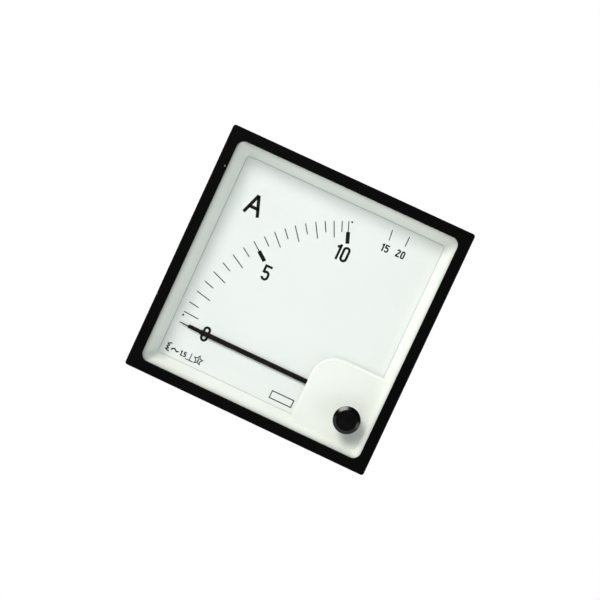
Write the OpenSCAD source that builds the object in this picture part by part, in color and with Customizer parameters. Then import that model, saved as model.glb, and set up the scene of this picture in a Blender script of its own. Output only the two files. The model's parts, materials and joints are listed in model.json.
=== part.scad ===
// Square moving-iron panel ammeter, 96 mm front, quadrant scale with a corner pivot.
// X runs to the right, Z up and Y to the rear. The origin is the centre of the flange's
// rear face, which seats on the panel. All sizes are in millimetres.

/* [Front frame] */
// Side of the square front frame
frame_w = 96; // [88:0.5:120]
// Depth of the front frame in front of the panel
frame_depth = 5.5; // [5.2:0.1:8]
// Width of the flange outside the case body, which seats on the panel
panel_lip = 2.5; // [2:0.1:3.5]
// Outer corner radius of the frame
frame_corner = 1.1; // [0.6:0.1:2]
// Corner radius of the frame's window
window_corner = 2.9; // [2:0.1:4]
// Thickness of the lip that holds the glass from the front
frame_lip = 1.3; // [1:0.1:1.6]
// Thickness of the frame's side wall
frame_wall = 1.9; // [1.4:0.1:2.2]
// Bevel along the frame's front edges
frame_bevel = 0.4; // [0.2:0.1:0.8]
// Thickness of the window glass
glass_t = 1.5; // [1.2:0.1:1.6]

/* [Case] */
// Depth of the case behind the panel
case_depth = 49; // [47:0.5:70]
// Wall thickness of the case
case_wall = 1.6; // [1.2:0.1:1.8]
// Thickness of the case's back wall
case_back = 2; // [1.5:0.1:3]
// Thickness of the flange on the panel
flange_t = 1.6; // [1.4:0.1:1.8]
// Corner radius of the case body
case_corner = 3; // [2:0.1:4]

/* [Dial and mask] */
// Depth of the dial's face behind the panel plane
dial_y = 4.5; // [3.8:0.1:6]
// Thickness of the dial plate
dial_t = 0.8; // [0.5:0.1:1]
// Width of the sloped ring between the window and the dial
ring_w = 3.8; // [3:0.1:5]
// Wall thickness of the moulded mask
mask_wall = 1.2; // [1:0.1:1.4]
// Height of the shield's face above the dial
shield_rise = 3.25; // [3.1:0.05:3.6]
// Thickness of the shield
shield_t = 1.5; // [1.3:0.1:1.6]
// Distance from the pivot to the shield's left edge
shield_left = 11.65; // [11.2:0.05:16]
// Distance from the pivot to the shield's top edge
shield_top = 13.2; // [12.2:0.1:16]
// Corner radius of the shield
shield_corner = 9.5; // [6:0.5:10]

/* [Pointer movement] */
// Distance from the case's inner wall to the pivot, sideways
pivot_side = 17.1; // [16.8:0.1:24]
// Distance from the case's inner wall to the pivot, upwards
pivot_floor = 17.3; // [17:0.1:24]
// Distance from the scale's outer end to the edge of the visible dial
scale_margin = 2.6; // [2:0.1:8]
// Width of the pointer's bar
pointer_w = 1.85; // [1.2:0.05:2.2]
// Thickness of the pointer's sheet
pointer_t = 0.4; // [0.3:0.05:0.5]
// Radius of the spindle
spindle_r = 0.75; // [0.6:0.05:0.9]
// Radius of the brass weight on the pointer's tail, which balances it on its axis
tail_weight_r = 2.25; // [1.8:0.05:2.6]
// Angle past each end of the scale at which the pointer meets its stop
overtravel = 2; // [1:0.5:3]
// Number of turns in the hairspring
spring_turns = 4; // [3:1:5]
// Outer radius of the hairspring
spring_r = 4.3; // [3.8:0.1:4.5]
// Outer radius of the damping chamber
chamber_r = 28.4; // [24:0.1:32]
// Wall thickness of the damping chamber
chamber_wall = 0.9; // [0.7:0.1:1.2]

/* [Coil] */
// Bore radius of the coil bobbin
bobbin_bore = 7; // [6.6:0.1:7.4]
// Radius of the bobbin's flanges
bobbin_r = 14; // [13.4:0.1:14.4]
// Length of the bobbin
bobbin_len = 19.6; // [16:0.1:22]
// Number of turns in a layer of the coil
coil_turns = 7; // [6:1:9]
// Diameter of the coil's copper wire
wire_d = 2.2; // [1.6:0.1:2.4]
// Thickness of the two irons
iron_t = 0.6; // [0.4:0.1:0.8]

/* [Zero adjuster] */
// Distance from the pivot to the adjuster, sideways
adjuster_x = 7.4; // [6.8:0.1:8.5]
// Distance from the pivot to the adjuster, downwards
adjuster_z = 5.6; // [5.4:0.1:8]
// Radius of the adjuster's head
adjuster_r = 5.1; // [4:0.1:6]
// Height of the adjuster's head
adjuster_h = 1.45; // [1.2:0.05:2]
// Radius of the adjuster's neck in the glass
neck_r = 3.1; // [2.6:0.1:3.4]
// Radius of the rounding round the adjuster's head
adjuster_round = 1.1; // [0.4:0.05:1.1]
// Offset of the eccentric pin from the adjuster's axis
pin_throw = 1.2; // [0.8:0.1:1.5]

/* [Terminals and clamps] */
// Distance between the terminal studs
stud_spacing = 40; // [30:0.5:50]
// Height of the terminal studs above the centre
stud_z = 14; // [12:0.5:20]
// Thread radius of the terminal studs
stud_r = 2; // [1.5:0.5:2.5]
// Length of free stud behind the last nut
stud_free = 6.2; // [4:0.1:12]
// Width of each mounting strap
strap_w = 12; // [8:0.5:16]
// Thickness of each mounting strap
strap_t = 1.5; // [1.2:0.1:1.8]
// Panel thickness at which the straps are drawn
panel_t = 3; // [2.2:0.1:8]
// Thread radius of the strap screws
strap_screw_r = 2; // [1.5:0.5:2]
// Length of the strap screws
strap_screw_len = 22; // [18:0.5:24]

/* [Hidden] */
$fn = 48;

// Clearances: between seated pieces, for a running fit and for a loose hole
seat_gap = 0.05;
run_gap = 0.07;
loose_gap = 0.15;

// Front stack, from the frame's face to the panel
frame_half = frame_w / 2;
body_half = frame_half - panel_lip;
case_in = body_half - case_wall;
frame_front = -frame_depth;
glass_y = frame_front + frame_lip;
mask_y = glass_y + glass_t + seat_gap;
flange_y = -flange_t;
pocket_half = frame_half - frame_wall;
window_half = case_in;
dial_half = case_in - 0.3;
mask_half = case_in - loose_gap;
mask_corner = case_corner - 1;
dial_window = window_half - ring_w;
dial_window_corner = 1.3;
ledge_w = 1.7;
ledge_t = 1.8;
tongue_w = 0.7;
tongue_h = 0.6;

// Pivot, scale and shield
pivot_x = case_in - pivot_side;
pivot_z = -case_in + pivot_floor;
scale_r = dial_window + pivot_x - scale_margin;
shield_y = dial_y - shield_rise;
shield_edge = 0.8;
cutout_r = 9.4;
cutout_side = 6.5;

// Levels of the movement, from the dial to the rear
lever_y = dial_y + dial_t + 0.5;
lever_t = 0.6;
bridge_y = lever_y + lever_t + 0.4;
bridge_t = 1.4;
spring_y = bridge_y + bridge_t + 0.95;
spring_h = 0.5;
hub_y = spring_y + spring_h + 0.95;
blade_y = dial_y - 1.1;
vane_y = hub_y + 1.9;
vane_h = 5.2;
chamber_y = vane_y + pointer_t / 2 - vane_h / 2 - 0.4 - chamber_wall;
chamber_depth = vane_h + 0.8 + 2 * chamber_wall;
plate_y = chamber_y + chamber_depth;
plate_t = 1.8;
bobbin_y = plate_y + plate_t + seat_gap;
bobbin_end = bobbin_y + bobbin_len;
bobbin_wall = 0.9;
bobbin_flange = 1.2;
coil_top = bobbin_bore + bobbin_wall + seat_gap + 1.9 * wire_d;
rear_y = bobbin_end + seat_gap;
rear_seat = rear_y + 2 * seat_gap + bridge_t;
front_mouth = spring_y - 0.45;
rear_mouth = rear_y + 2 * seat_gap - 1.2;
back_in = case_depth - case_back;

// Pointer, stops and bearings
blade_start = 9.2;
crank_start = 5.8;
bar_end = scale_r - 9.3;
neck_end = scale_r - 4.1;
tip_end = scale_r - 1.4;
stop_ring = 10.2;
stop_pin_r = 0.4;
stop_angle = overtravel + 0.5
    + asin((pointer_w / 2) / stop_ring) + asin(stop_pin_r / stop_ring);
jewel_r = 1.75;
jewel_head_r = 2.6;
jewel_head_h = 0.9;
collet_r = 1.55;
boss_r = 1.5;
tail_r = 13.2;
trim_r = 9;
stud_post_r = 0.35;
stud_post_at = spring_r + 0.55;

// Pillars and screws of the movement
pillar_at = 17.5;
pillar_r = 2.6;
ears = [[-24, -12], polar(chamber_r + 7, 132.7), polar(chamber_r + 4.7, 86.5)];
ear_r = 3.4;
screw_m25 = 1.2;
screw_m25_len = 6;
head_m25 = 2.2;
screw_m3 = 1.45;
screw_m3_len = 11;
head_m3 = 2.7;
chamber_in = 13.3;
chamber_from = 82;
chamber_to = 188;
vane_in = chamber_in + chamber_wall + 0.4;
vane_out = chamber_r - chamber_wall - 0.6;

// Adjuster: the lever turns by throw / (reach + throw) of the adjuster's angle
reach = sqrt(adjuster_x * adjuster_x + adjuster_z * adjuster_z);
adjuster_dir = -atan2(adjuster_z, adjuster_x);
adjuster_at = [pivot_x + adjuster_x, pivot_z - adjuster_z];
adjuster_shaft_r = 2.3;
pin_r = 0.6;
slot_w = 1.2;
slot_deep = 0.8;
neck_groove_r = 1.9;

// Terminal stack outside the back wall
pad_r = 6.5;
pad_h = 1.5;
washer_t = 0.8;
washer_r = 4.5;
nut_h = 3.2;
nut_af = 3.5 * stud_r;
spring_washer_t = 1;
stack_y = case_depth + pad_h;
stack_end = stack_y + 2 * washer_t + spring_washer_t + 2 * nut_h;
stud_head = 8;
stud_head_t = 2.4;
shank_r = 0.885 * stud_r; // the thread's pitch radius, under the nuts
lead_y = back_in - stud_head_t - 0.5;
lead_r = wire_d / 2 - 0.1;

// Mounting straps: the lug stays clear of the back when the panel is thin
strap_foot = 1.05;
lug_y = case_depth + panel_t;
screw_inset = 6.1;
strap_screw_x = body_half - screw_inset;
screw_boss_r = 3.6;
strap_hole_y = lug_y + strap_t - strap_screw_len - panel_t - 0.5;
rib_w = 1.2;
rib_h = 1.4;

// ---- Helpers: plan shapes are drawn as seen from the front, X right and Z up ----

function polar(r, a) = [r * cos(a), r * sin(a)];

module slab(y0, y1) {
    translate([0, y1, 0]) rotate([90, 0, 0]) linear_extrude(y1 - y0) children();
}

module rounded(half, r) {
    square([2 * half, 2 * (half - r)], center = true);
    square([2 * (half - r), 2 * half], center = true);
    for (x = [-1, 1], z = [-1, 1])
        translate([x * (half - r), z * (half - r)]) circle(r);
}

module turned(x, z) {
    translate([x, 0, z]) rotate([-90, 0, 0]) rotate_extrude() children();
}

module rod(x, z, r, y0, y1) {
    translate([x, y0, z]) rotate([-90, 0, 0]) cylinder(r = r, h = y1 - y0);
}

module at_pivot(angle = 0) {
    translate([pivot_x, 0, pivot_z]) rotate([0, -angle, 0]) children();
}

// A sector of a ring about the origin, from one angle to another, under 180 degrees
module sector(r_in, r_out, from, to) {
    mid = (from + to) / 2;
    far = 2 * r_out;
    intersection() {
        difference() {
            circle(r_out);
            if (r_in > 0) circle(r_in);
        }
        polygon([[0, 0], [far * cos(from), far * sin(from)],
            [far * cos(mid), far * sin(mid)], [far * cos(to), far * sin(to)]]);
    }
}

module bar(p, q, w) {
    d = q - p;
    translate(p) rotate(atan2(d[1], d[0])) translate([0, -w / 2]) square([norm(d), w]);
}

// A slotted cheese-head screw along Y; way is 1 with the head in front, -1 behind
module slot_screw(x, z, seat, way, r, len, head_r, head_h) {
    difference() {
        union() {
            rod(x, z, r, way > 0 ? seat : seat - len, way > 0 ? seat + len : seat);
            rod(x, z, head_r, way > 0 ? seat - head_h : seat,
                way > 0 ? seat : seat + head_h);
        }
        translate([x, seat - way * head_h, z])
            cube([3 * head_r, head_h, head_r * 0.32], center = true);
    }
}

module hex_nut(x, z, y0, af, h, bore) {
    difference() {
        translate([x, y0, z]) rotate([-90, 0, 0]) cylinder(r = af / sqrt(3), h = h, $fn = 6);
        rod(x, z, bore, y0 - 1, y0 + h + 1);
    }
}

module ring(x, z, r_in, r_out, y0, y1) {
    difference() {
        rod(x, z, r_out, y0, y1);
        rod(x, z, r_in, y0 - 1, y1 + 1);
    }
}

// ---- Case and front ----

module case() {
    color([0.12, 0.12, 0.13]) difference() {
        union() {
            slab(flange_y, 0) rounded(frame_half, frame_corner);
            slab(-0.5, case_depth) rounded(body_half, case_corner);
            for (x = [-1, 1]) {
                rod(x * stud_spacing / 2, stud_z, pad_r, case_depth - 1, stack_y);
                for (z = [-1, 1]) strap_rib(x, z);
            }
        }
        difference() {
            slab(flange_y - 1, back_in) rounded(case_in, case_corner - case_wall / 2);
            dial_ledge();
            for (e = ears)
                rod(pivot_x + e[0], pivot_z + e[1], ear_r - 0.4, bobbin_y, case_depth);
            for (x = [-1, 1]) {
                rod(x * strap_screw_x, 0, screw_boss_r, strap_hole_y - 1.6, case_depth);
                stud_pocket(x);
            }
        }
        slab(flange_y - 1, flange_y + tongue_h) difference() {
            rounded(frame_half - 0.7, frame_corner);
            rounded(frame_half - 0.7 - tongue_w - 0.1, frame_corner);
        }
        for (e = ears)
            rod(pivot_x + e[0], pivot_z + e[1], screw_m3 + seat_gap, bobbin_y - 1, bobbin_y + 12);
        for (x = [-1, 1]) {
            rod(x * strap_screw_x, 0, strap_screw_r + run_gap, strap_hole_y, case_depth + 1);
            rod(x * stud_spacing / 2, stud_z, stud_r + seat_gap, back_in - 1, stack_y + 1);
        }
    }
}

// Depth that the strap screw's hole reaches, clear of its tip on the thinnest panel
module dial_ledge() {
    slab(dial_y + dial_t + seat_gap, dial_y + dial_t + ledge_t) difference() {
        square(2 * case_in + 2, center = true);
        square(2 * (case_in - ledge_w), center = true);
    }
}

// Raised square that keeps a stud's head from turning
module stud_pocket(x) {
    translate([x * stud_spacing / 2, 0, stud_z]) slab(back_in - 1.2, case_depth) difference() {
        square(stud_head + 2, center = true);
        square(stud_head + 2 * loose_gap, center = true);
    }
}

module strap_rib(x, z) {
    edge = strap_w / 2 + 0.3;
    translate([x * (body_half + rib_h / 2 - 0.2), (case_depth + 4) / 2, z * (edge + rib_w / 2)])
        cube([rib_h + 0.4, case_depth - 8, rib_w], center = true);
}

module bezel_frame() {
    color([0.1, 0.09, 0.1]) intersection() {
        difference() {
            union() {
                slab(frame_front, flange_y - seat_gap) rounded(frame_half, frame_corner);
                slab(flange_y - 1, flange_y + tongue_h - 0.1) difference() {
                    rounded(frame_half - 0.75, frame_corner);
                    rounded(frame_half - 0.75 - tongue_w, frame_corner);
                }
            }
            slab(frame_front - 1, 1) rounded(window_half, window_corner);
            slab(glass_y, 1) rounded(pocket_half, 1.2);
        }
        bevel_prism();
        rotate([0, 90, 0]) bevel_prism();
    }
}

// The frame's section from above, carried over its whole height, with bevelled front edges
module bevel_prism() {
    b = frame_bevel;
    linear_extrude(3 * frame_half, center = true) polygon([[-frame_half, 1],
        [-frame_half, frame_front + b], [b - frame_half, frame_front],
        [frame_half - b, frame_front], [frame_half, frame_front + b], [frame_half, 1]]);
}

module window_glass() {
    color([0.85, 0.92, 0.92, 0.3]) difference() {
        slab(glass_y + seat_gap / 2, glass_y + glass_t) rounded(pocket_half - 0.1, 1.1);
        rod(adjuster_at[0], adjuster_at[1], neck_r + run_gap, glass_y - 1, glass_y + glass_t + 1);
    }
}

// A square funnel: rounded squares at two depths, joined by flat slopes
module funnel(y0, half0, r0, y1, half1, r1) {
    hull() {
        slab(y0 - 0.01, y0) rounded(half0, r0, $fn = 32);
        slab(y1, y1 + 0.01) rounded(half1, r1, $fn = 32);
    }
}

module dial_mask() {
    foot_y = dial_y - seat_gap;
    slope = ring_w / (foot_y - mask_y);
    color([0.93, 0.93, 0.88]) difference() {
        union() {
            difference() {
                union() {
                    slab(mask_y, flange_y - seat_gap) rounded(pocket_half - loose_gap, 1.1);
                    slab(mask_y + 0.1, foot_y) rounded(mask_half, mask_corner);
                }
                funnel(mask_y - 1, window_half + slope, window_corner + 0.2,
                    foot_y + 1, dial_window - slope, dial_window_corner - 0.2);
                ring_hollow(foot_y, slope);
            }
            shield(foot_y, slope);
        }
        rod(adjuster_at[0], adjuster_at[1], adjuster_shaft_r + 0.5, shield_y - 1,
            shield_y + shield_t + 1);
        mould_lines();
    }
}

// Space behind the sloped wall, open towards the dial
module ring_hollow(foot_y, slope) {
    top_y = flange_y + 1.2;
    half_at = dial_window + (foot_y - top_y) * slope + mask_wall;
    difference() {
        slab(top_y, foot_y + 1) square(2 * (mask_half - 0.8), center = true);
        funnel(top_y - 1, half_at + slope, window_corner,
            foot_y + 2, dial_window + mask_wall - 2 * slope, dial_window_corner);
    }
}

// The raised shield over the pivot, with a rounded front edge and a large round corner
module shield(foot_y, slope) {
    left = pivot_x - shield_left;
    top = pivot_z + shield_top;
    far = dial_window + (foot_y - shield_y) * slope + mask_wall / 2;
    intersection() {
        union() {
            slab(shield_y, shield_y + shield_t) shield_plan(left + shield_edge, top - shield_edge, far);
            slab(shield_y + shield_edge, shield_y + shield_t) shield_plan(left, top, far);
            shield_rounding(left, top, far);
        }
        slab(shield_y - 1, shield_y + shield_t + 1) rounded(mask_half, mask_corner);
    }
}

module shield_plan(left, top, far) {
    r = shield_corner;
    difference() {
        translate([left, -far]) square([far - left, top + far]);
        translate([left - 1, top - r]) square([r + 1, r + 1]);
    }
    translate([left + r, top - r]) circle(r);
}

// Quarter-round edge along the left side, the corner and the top
module shield_rounding(left, top, far) {
    e = shield_edge;
    r = shield_corner;
    translate([left + e, shield_y + e, -far]) cylinder(r = e, h = top - r + far);
    translate([left + r, shield_y + e, top - e]) rotate([0, 90, 0]) cylinder(r = e, h = far - left - r);
    translate([left + r, shield_y + e, top - r]) rotate([-90, 0, 0])
        rotate_extrude() translate([r - e, 0]) circle(e);
}

// Faint lines on the shield's face
module mould_lines() {
    line = 0.25;
    depth = 0.12;
    wide = 11.5;
    high = 10.5;
    x0 = pivot_x - 1;
    z0 = pivot_z + 3.7 - high;
    slab(shield_y - 1, shield_y + depth) {
        difference() {
            translate([x0, z0]) square([wide, high]);
            translate([x0 + line, z0 + line]) square([wide - 2 * line, high - 2 * line]);
        }
        translate([x0 + wide - 0.3, -dial_window + 0.5]) square([line, 5.2]);
    }
}

module dial_plate() {
    color([0.95, 0.96, 0.95]) difference() {
        slab(dial_y, dial_y + dial_t) rounded(dial_half, 2);
        slab(dial_y - 1, dial_y + dial_t + 1) {
            translate([pivot_x, pivot_z]) circle(cutout_r);
            translate([pivot_x - cutout_side, -case_in - 1])
                square([case_in, case_in + 1 + pivot_z + cutout_side]);
        }
        for (a = [180 + stop_angle, 90 - stop_angle]) stop_pin(a, stop_pin_r + 0.02);
    }
}

module stop_pin(angle, r) {
    rod(pivot_x + stop_ring * cos(angle), pivot_z + stop_ring * sin(angle), r,
        blade_y - 0.4, dial_y + dial_t);
}

module stop_pins() {
    color([0.7, 0.7, 0.72]) for (a = [180 + stop_angle, 90 - stop_angle]) stop_pin(a, stop_pin_r);
}

// ---- Fixed parts of the movement ----

module pillar_points() {
    for (a = [45, 225]) translate([pillar_at * cos(a), pillar_at * sin(a)]) children();
}

module movement_frame() {
    color([0.55, 0.56, 0.58]) at_pivot() difference() {
        union() {
            slab(plate_y, plate_y + plate_t) {
                circle(bobbin_r + 1.2);
                sector(0, chamber_r, chamber_from, chamber_to);
                for (e = ears) {
                    bar([0, 0], e, 6);
                    translate(e) circle(ear_r);
                }
                pillar_points() circle(pillar_r + 1);
            }
            slab(bridge_y + bridge_t + seat_gap, rear_y) pillar_points() circle(pillar_r);
        }
        slab(plate_y - 1, plate_y + plate_t + 1) {
            circle(3);
            for (e = ears) translate(e) circle(screw_m3 + seat_gap);
        }
        slab(bridge_y, bridge_y + bridge_t + 5.5) pillar_points() circle(screw_m25 + seat_gap);
        slab(rear_y - 5.5, rear_y + 1) pillar_points() circle(screw_m25 + seat_gap);
    }
}

module bridge(y0, w) {
    at_pivot() slab(y0, y0 + bridge_t) difference() {
        union() {
            rotate(45) square([2 * pillar_at, w], center = true);
            pillar_points() circle(pillar_r + 0.4);
            circle(w / 2 + 0.2);
        }
        circle(jewel_r + seat_gap);
        pillar_points() circle(screw_m25 + seat_gap);
    }
}

module front_bridge() {
    color([0.72, 0.6, 0.3]) bridge(bridge_y, 6);
}

module rear_bridge() {
    color([0.72, 0.6, 0.3]) bridge(rear_y + seat_gap, 6);
}

module bridge_screws() {
    color([0.75, 0.75, 0.77]) for (a = [45, 225]) {
        x = pivot_x + pillar_at * cos(a);
        z = pivot_z + pillar_at * sin(a);
        slot_screw(x, z, bridge_y - seat_gap, 1, screw_m25, screw_m25_len, head_m25, 1.1);
        slot_screw(x, z, rear_seat, -1, screw_m25, screw_m25_len, head_m25, 1.1);
    }
}

module movement_screws() {
    color([0.75, 0.75, 0.77]) for (e = ears)
        slot_screw(pivot_x + e[0], pivot_z + e[1], plate_y - seat_gap, 1, screw_m3,
            screw_m3_len, head_m3, 1.5);
}

// A jewel screw: slotted head, threaded shank and a conical cup that holds the pivot
module jewel_screw(head_y, way, len) {
    mouth = head_y + way * (jewel_head_h + len);
    difference() {
        slot_screw(pivot_x, pivot_z, head_y + way * jewel_head_h, way, jewel_r, len,
            jewel_head_r, jewel_head_h);
        translate([pivot_x, mouth + way * 0.01, pivot_z]) rotate([way * 90, 0, 0])
            cylinder(r1 = 0.95, r2 = 0.15, h = 0.55);
    }
}

module front_bearing() {
    head_y = lever_y - loose_gap - jewel_head_h;
    color([0.8, 0.68, 0.35]) jewel_screw(head_y, 1, front_mouth - head_y - jewel_head_h);
}

module rear_bearing() {
    head_y = rear_seat + jewel_head_h;
    color([0.8, 0.68, 0.35]) jewel_screw(head_y, -1, bridge_t + 1.2);
}

module coil_bobbin() {
    color([0.85, 0.82, 0.72]) turned(pivot_x, pivot_z) bobbin_profile();
}

module bobbin_profile() {
    translate([bobbin_bore, bobbin_y]) square([bobbin_wall, bobbin_len]);
    for (y = [bobbin_y, bobbin_end - bobbin_flange])
        translate([bobbin_bore, y]) square([bobbin_r - bobbin_bore, bobbin_flange]);
}

// Two layers of round wire, drawn as one ring with the outer turns standing out
module coil_winding() {
    r0 = bobbin_bore + bobbin_wall + seat_gap;
    r1 = r0 + 1.5 * wire_d;
    crest = 0.4 * wire_d;
    y0 = bobbin_y + 1.3;
    pitch = (bobbin_len - 2.6) / coil_turns;
    wave = [for (i = [0 : coil_turns - 1], a = [0 : 30 : 150])
        [r1 + crest * sin(a), y0 + pitch * (i + (1 - cos(a)) / 2)]];
    color([0.72, 0.4, 0.22]) turned(pivot_x, pivot_z) polygon(concat([[r0, y0]], wave,
        [[r1, y0 + pitch * coil_turns], [r0, y0 + pitch * coil_turns]]));
}

// One copper lead: out of the coil, back along the case and across to its stud's eye
module lead(side, coil_x, coil_y, rise) {
    stud_x = side * stud_spacing / 2;
    turn_z = pivot_z + coil_top + rise;
    start = [pivot_x + coil_x, coil_y, pivot_z + coil_top + 0.02];
    a = [start[0], coil_y, turn_z];
    b = [start[0], lead_y, turn_z];
    c = [stud_x, lead_y, turn_z];
    wire_end = stud_z - nut_af / sqrt(3) - 0.2;
    translate(start) cylinder(r = lead_r, h = turn_z - start[2]);
    translate(a) rotate([-90, 0, 0]) cylinder(r = lead_r, h = lead_y - coil_y);
    translate([min(b[0], c[0]), lead_y, turn_z]) rotate([0, 90, 0])
        cylinder(r = lead_r, h = abs(b[0] - c[0]));
    translate(c) cylinder(r = lead_r, h = wire_end - turn_z);
    for (p = [a, b, c]) translate(p) sphere(lead_r);
    difference() {
        union() {
            rod(stud_x, stud_z, stud_r + 2.2, lead_y - 0.4, lead_y + 0.4);
            translate([stud_x - lead_r, lead_y - 0.4, wire_end - 2.5])
                cube([2 * lead_r, 0.8, stud_z - wire_end]);
        }
        rod(stud_x, stud_z, stud_r + seat_gap, lead_y - 2, lead_y + 2);
    }
}

module coil_leads() {
    color([0.72, 0.4, 0.22]) {
        lead(1, 3, bobbin_y + 1.3 + wire_d / 2, 8);
        lead(-1, -3, bobbin_end - 1.3 - wire_d / 2, 4);
    }
}

module fixed_iron() {
    color([0.5, 0.5, 0.52]) at_pivot() slab(bobbin_y + 1.5, bobbin_end - 1.5)
        sector(bobbin_bore - 0.1 - iron_t, bobbin_bore - 0.1, 150, 290);
}

module damping_chamber() {
    color([0.3, 0.3, 0.32]) at_pivot() difference() {
        slab(chamber_y + chamber_wall, plate_y - seat_gap)
            sector(chamber_in, chamber_r, chamber_from, chamber_to);
        slab(chamber_y, plate_y - chamber_wall) sector(chamber_in + chamber_wall,
            chamber_r - chamber_wall, chamber_from + 2.2, chamber_to - 2.2);
        slab(vane_y - 0.4, vane_y + pointer_t + 0.4)
            sector(chamber_in - 2, chamber_in + 2 * chamber_wall, chamber_from + 2.2, chamber_to - 2.2);
    }
}

module chamber_cover() {
    color([0.4, 0.4, 0.42]) at_pivot() slab(chamber_y, chamber_y + chamber_wall - seat_gap)
        sector(chamber_in, chamber_r, chamber_from, chamber_to);
}

// ---- Terminals ----

module terminal_studs() {
    color([0.8, 0.66, 0.32]) for (x = [-1, 1]) translate([x * stud_spacing / 2, 0, stud_z]) {
        slab(back_in - stud_head_t, back_in - seat_gap) square(stud_head, center = true);
        rod(0, 0, shank_r, back_in - stud_head_t - 0.9 - nut_h - 0.6, stack_end + 0.3);
        rod(0, 0, stud_r, stack_end + 0.3, stack_end + stud_free - 0.4);
        translate([0, stack_end + stud_free - 0.4, 0]) rotate([-90, 0, 0])
            cylinder(r1 = stud_r, r2 = stud_r - 0.4, h = 0.4);
    }
}

module terminal_washers() {
    color([0.8, 0.8, 0.82]) for (x = [-1, 1], y = [stack_y, stack_y + washer_t + nut_h])
        ring(x * stud_spacing / 2, stud_z, stud_r + seat_gap, washer_r, y, y + washer_t);
}

// Split spring washers, with a narrow gap cut at a slant
module spring_washers() {
    y0 = stack_y + 2 * washer_t + nut_h;
    color([0.6, 0.6, 0.62]) for (x = [-1, 1]) difference() {
        ring(x * stud_spacing / 2, stud_z, stud_r + seat_gap, stud_r + 1.6, y0, y0 + spring_washer_t);
        translate([x * stud_spacing / 2 + stud_r + 1, y0, stud_z]) rotate([30, 0, 0])
            cube([2.6, 6, 0.5], center = true);
    }
}

module terminal_nuts() {
    inner = back_in - stud_head_t - 0.9 - nut_h;
    outer = stack_y + washer_t;
    color([0.8, 0.68, 0.34]) for (x = [-1, 1],
            y = [inner, outer, outer + nut_h + washer_t + spring_washer_t])
        hex_nut(x * stud_spacing / 2, stud_z, y, nut_af, nut_h,
            shank_r + seat_gap);
}

// ---- Moving system, drawn at the scale's zero, where the pointer points to -X ----

module spindle() {
    tip = front_mouth - 0.3;
    end = rear_mouth + 0.3;
    color([0.75, 0.76, 0.78]) turned(pivot_x, pivot_z) polygon([[0, tip], [0.1, tip],
        [spindle_r, tip + 0.7], [collet_r, tip + 0.7], [collet_r, spring_y + spring_h + 0.1],
        [spindle_r, spring_y + spring_h + 0.1], [spindle_r, end - 0.7], [0.1, end], [0, end]]);
}

// Plan of the pointer along +X: bar, shoulder, narrow stretch and fine tip
module pointer_plan() {
    w = pointer_w / 2;
    polygon([[0, -w], [bar_end, -w], [bar_end + 1.2, -0.45], [neck_end, -0.42],
        [neck_end + 0.3, -0.15], [tip_end, -0.12], [tip_end, 0.12], [neck_end + 0.3, 0.15],
        [neck_end, 0.42], [bar_end + 1.2, 0.45], [bar_end, w], [0, w]]);
}

// Side of the pointer: flat at the hub, cranked forward through the dial, flat to the tip
module pointer_side() {
    t = pointer_t;
    polygon([[0, hub_y], [crank_start, hub_y], [blade_start, blade_y], [scale_r, blade_y],
        [scale_r, blade_y + t], [blade_start + t / 2, blade_y + t],
        [crank_start + t / 2, hub_y + t], [0, hub_y + t]]);
}

module pointer() {
    color([0.1, 0.06, 0.05]) at_pivot(180) difference() {
        union() {
            intersection() {
                slab(blade_y - 1, hub_y + 1) pointer_plan();
                linear_extrude(8, center = true) pointer_side();
            }
            slab(hub_y, hub_y + pointer_t) {
                circle(2.7);
                translate([-tail_r, -0.5]) square([tail_r, 1]);
                square([1, 2 * trim_r], center = true);
            }
        }
        slab(hub_y - 1, hub_y + 1) circle(boss_r + seat_gap);
    }
}

// Brass bush that carries the pointer on the spindle
module pointer_boss() {
    bore = spindle_r + 0.02;
    color([0.8, 0.68, 0.35]) turned(pivot_x, pivot_z) {
        translate([bore, hub_y - 0.4]) square([boss_r - bore, 1.6]);
        translate([bore, hub_y - 0.4]) square([2 - bore, 0.35]);
        translate([bore, hub_y + pointer_t + seat_gap]) square([2.4 - bore, 0.8]);
    }
}

// A weight on an arm along +X, with a slot for the arm's sheet
module arm_weight(from, len, r) {
    difference() {
        translate([from, hub_y + pointer_t / 2, 0]) rotate([0, 90, 0]) cylinder(r = r, h = len);
        translate([from - 1, hub_y - 0.03, -0.53]) cube([len + 2, pointer_t + 0.06, 1.06]);
    }
}

module counterweights() {
    color([0.8, 0.68, 0.35]) {
        at_pivot(0) arm_weight(tail_r - 5.2, 5, tail_weight_r);
        for (a = [90, -90]) at_pivot(a) arm_weight(trim_r - 2.2, 2, 1.2);
    }
}

module moving_iron() {
    r_out = bobbin_bore - 0.1 - iron_t - 0.9;
    y0 = bobbin_y + 2.5;
    y1 = bobbin_end - 2.5;
    color([0.5, 0.5, 0.52]) at_pivot() difference() {
        union() {
            slab(y0, y1) sector(r_out - iron_t, r_out, 145, 215);
            for (y = [y0, y1 - 0.8]) slab(y, y + 0.8) {
                circle(1.7);
                rotate(180) translate([0, -0.9]) square([r_out - iron_t / 2, 1.8]);
            }
        }
        slab(y0 - 1, y1 + 1) circle(spindle_r + 0.02);
    }
}

module damping_vane() {
    color([0.82, 0.83, 0.85]) at_pivot(180) difference() {
        union() {
            slab(vane_y - 0.3, vane_y + pointer_t + 0.3) circle(1.8);
            slab(vane_y, vane_y + pointer_t) translate([0, -0.7]) square([vane_in + 1, 1.4]);
            slab(vane_y + pointer_t / 2 - vane_h / 2, vane_y + pointer_t / 2 + vane_h / 2)
                translate([vane_in, -0.15]) square([vane_out - vane_in, 0.3]);
        }
        slab(vane_y - 2, vane_y + 2) circle(spindle_r + 0.02);
    }
}

// ---- Zero adjustment ----

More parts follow.
